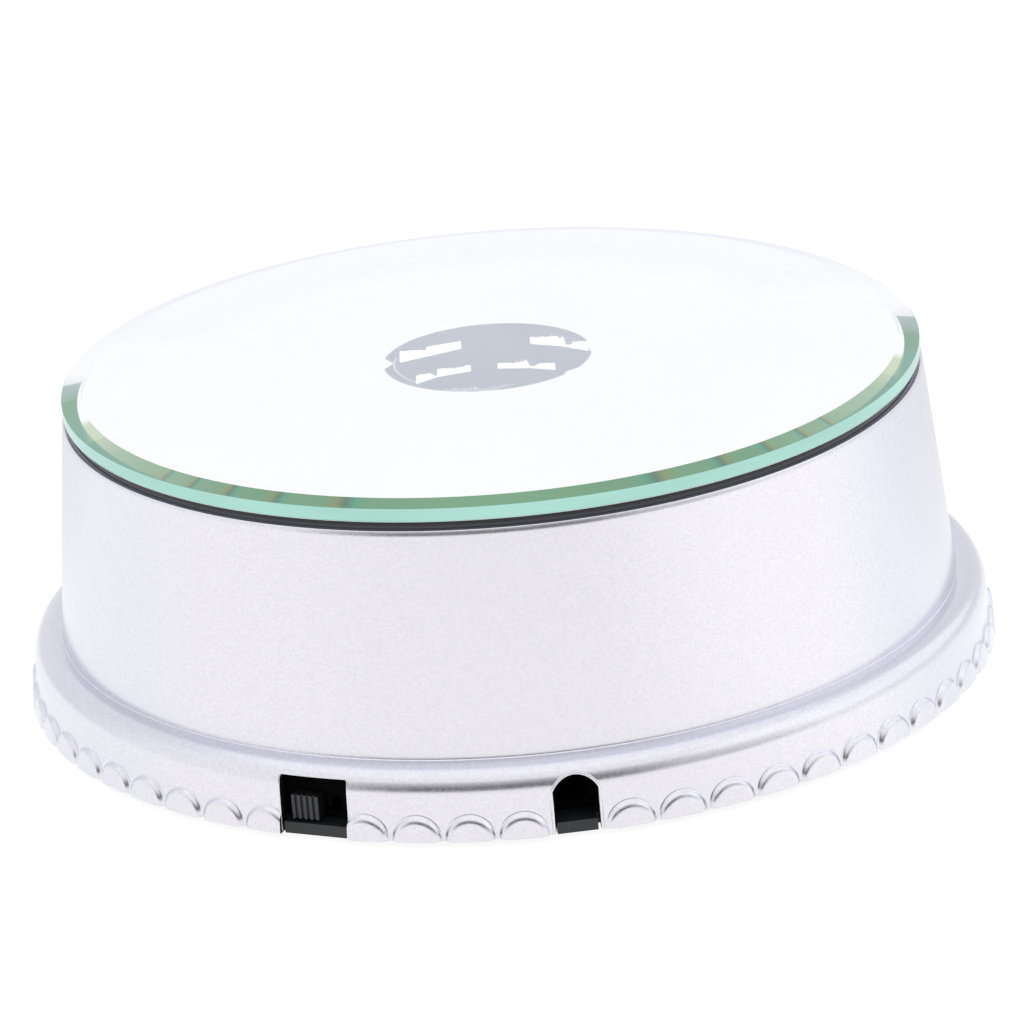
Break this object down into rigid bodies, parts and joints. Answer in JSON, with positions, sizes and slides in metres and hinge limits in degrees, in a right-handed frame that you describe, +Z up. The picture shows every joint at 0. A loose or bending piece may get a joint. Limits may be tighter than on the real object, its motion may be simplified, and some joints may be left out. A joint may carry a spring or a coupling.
{
  "type": "turntable display stand",
  "caption": "Low round display turntable: bevelled mirror top with a lit window on a tapered silver drum, scalloped skirt with a slide switch and power socket.",
  "frame": {"origin": "on the platter's axis at table level, under the feet", "axes": "+Z up along the platter's axis; -Y is the front, halfway between the slide switch and the power socket"},
  "size_m": [0.1824, 0.1824, 0.06],
  "materials": {
    "silver_paint": "fine metallic silver paint, satin",
    "black_abs": "moulded black, satin",
    "black_gloss": "moulded black, gloss",
    "glass": "polished float glass with a green edge",
    "mirror": "silvered",
    "nylon": "natural",
    "steel": "zinc plated",
    "rubber": "matte",
    "board": "green solder mask",
    "led_epoxy": "clear",
    "white_tape": "matte white",
    "copper": "machined",
    "red_pvc": "satin",
    "black_pvc": "satin",
    "grey_plastic": "moulded"
  },
  "bodies": {
    "base": {"housing_shell": "silver_paint", "base_plate": "black_abs", "switch_body": "black_abs", "led_cup": "black_abs", "jack_body": "black_gloss", "capacitor": "black_gloss", "base_screw_1": "steel", "base_screw_2": "steel", "base_screw_3": "steel", "base_screw_4": "steel", "cup_screw_1": "steel", "cup_screw_2": "steel", "cup_screw_3": "steel", "gearbox_screw_1": "steel", "gearbox_screw_2": "steel", "gearbox_screw_3": "steel", "gearbox_screw_4": "steel", "gear_pin_second": "steel", "gear_pin_first": "steel", "motor": "steel", "roller_axle_1": "steel", "roller_axle_2": "steel", "roller_axle_3": "steel", "jack_pin": "steel", "foot_1": "rubber", "foot_2": "rubber", "foot_3": "rubber", "foot_4": "rubber", "control_board": "board", "led_board": "board", "led_centre": "led_epoxy", "led_1": "led_epoxy", "led_2": "led_epoxy", "led_3": "led_epoxy", "led_4": "led_epoxy", "led_5": "led_epoxy", "motor_lead": "red_pvc", "led_lead": "black_pvc", "power_lead": "black_pvc", "gearbox_lid": "grey_plastic", "gearbox_tray": "grey_plastic"},
    "platter": {"platter": "black_gloss", "ring_gear": "nylon", "hub_clip": "steel", "mirror_silvering": "mirror", "glass_disc": "glass", "diffuser_disc": "white_tape", "tape_1": "white_tape", "tape_2": "white_tape", "tape_3": "white_tape", "tape_4": "white_tape"},
    "output_gear": {"gear_output": "nylon"},
    "second_gear": {"gear_second": "nylon"},
    "first_gear": {"gear_first": "nylon"},
    "motor_rotor": {"motor_pinion": "copper"},
    "roller_1": {"roller_1": "nylon"},
    "roller_2": {"roller_2": "nylon"},
    "roller_3": {"roller_3": "nylon"},
    "switch_slider": {"switch_knob": "grey_plastic"}
  },
  "joints": [
    {"name": "platter_spin", "type": "hinge", "parent": "base", "child": "platter", "pos_m": [0, 0, 0.05], "axis": [0, 0, 1], "continuous": true},
    {"name": "output_spin", "type": "hinge", "parent": "base", "child": "output_gear", "pos_m": [0, 0.054, 0.045], "axis": [0, 0, 1], "continuous": true},
    {"name": "second_spin", "type": "hinge", "parent": "base", "child": "second_gear", "pos_m": [0.01427, 0.05208, 0.037], "axis": [0, 0, 1], "continuous": true},
    {"name": "first_spin", "type": "hinge", "parent": "base", "child": "first_gear", "pos_m": [0.02753, 0.04646, 0.035], "axis": [0, 0, 1], "continuous": true},
    {"name": "motor_spin", "type": "hinge", "parent": "base", "child": "motor_rotor", "pos_m": [0.03883, 0.03753, 0.029], "axis": [0, 0, 1], "continuous": true},
    {"name": "roller_1_spin", "type": "hinge", "parent": "base", "child": "roller_1", "pos_m": [0.07091, 0.0125, 0.0509], "axis": [0.9848, 0.1736, 0], "continuous": true},
    {"name": "roller_2_spin", "type": "hinge", "parent": "base", "child": "roller_2", "pos_m": [-0.04628, 0.05516, 0.0509], "axis": [-0.6428, 0.766, 0], "continuous": true},
    {"name": "roller_3_spin", "type": "hinge", "parent": "base", "child": "roller_3", "pos_m": [-0.02463, -0.06766, 0.0509], "axis": [-0.342, -0.9397, 0], "continuous": true},
    {"name": "switch_slide", "type": "slide", "parent": "base", "child": "switch_slider", "axis": [0.9659, -0.2588, 0], "range_m": [0, 0.0042]}
  ],
  "couplings": [
    {"joint": "output_spin", "follows": "platter_spin", "ratio": 7},
    {"joint": "second_spin", "follows": "platter_spin", "ratio": -21},
    {"joint": "first_spin", "follows": "platter_spin", "ratio": 63},
    {"joint": "motor_spin", "follows": "platter_spin", "ratio": -189},
    {"joint": "roller_1_spin", "follows": "platter_spin", "ratio": -20.87},
    {"joint": "roller_2_spin", "follows": "platter_spin", "ratio": -20.87},
    {"joint": "roller_3_spin", "follows": "platter_spin", "ratio": -20.87}
  ]
}
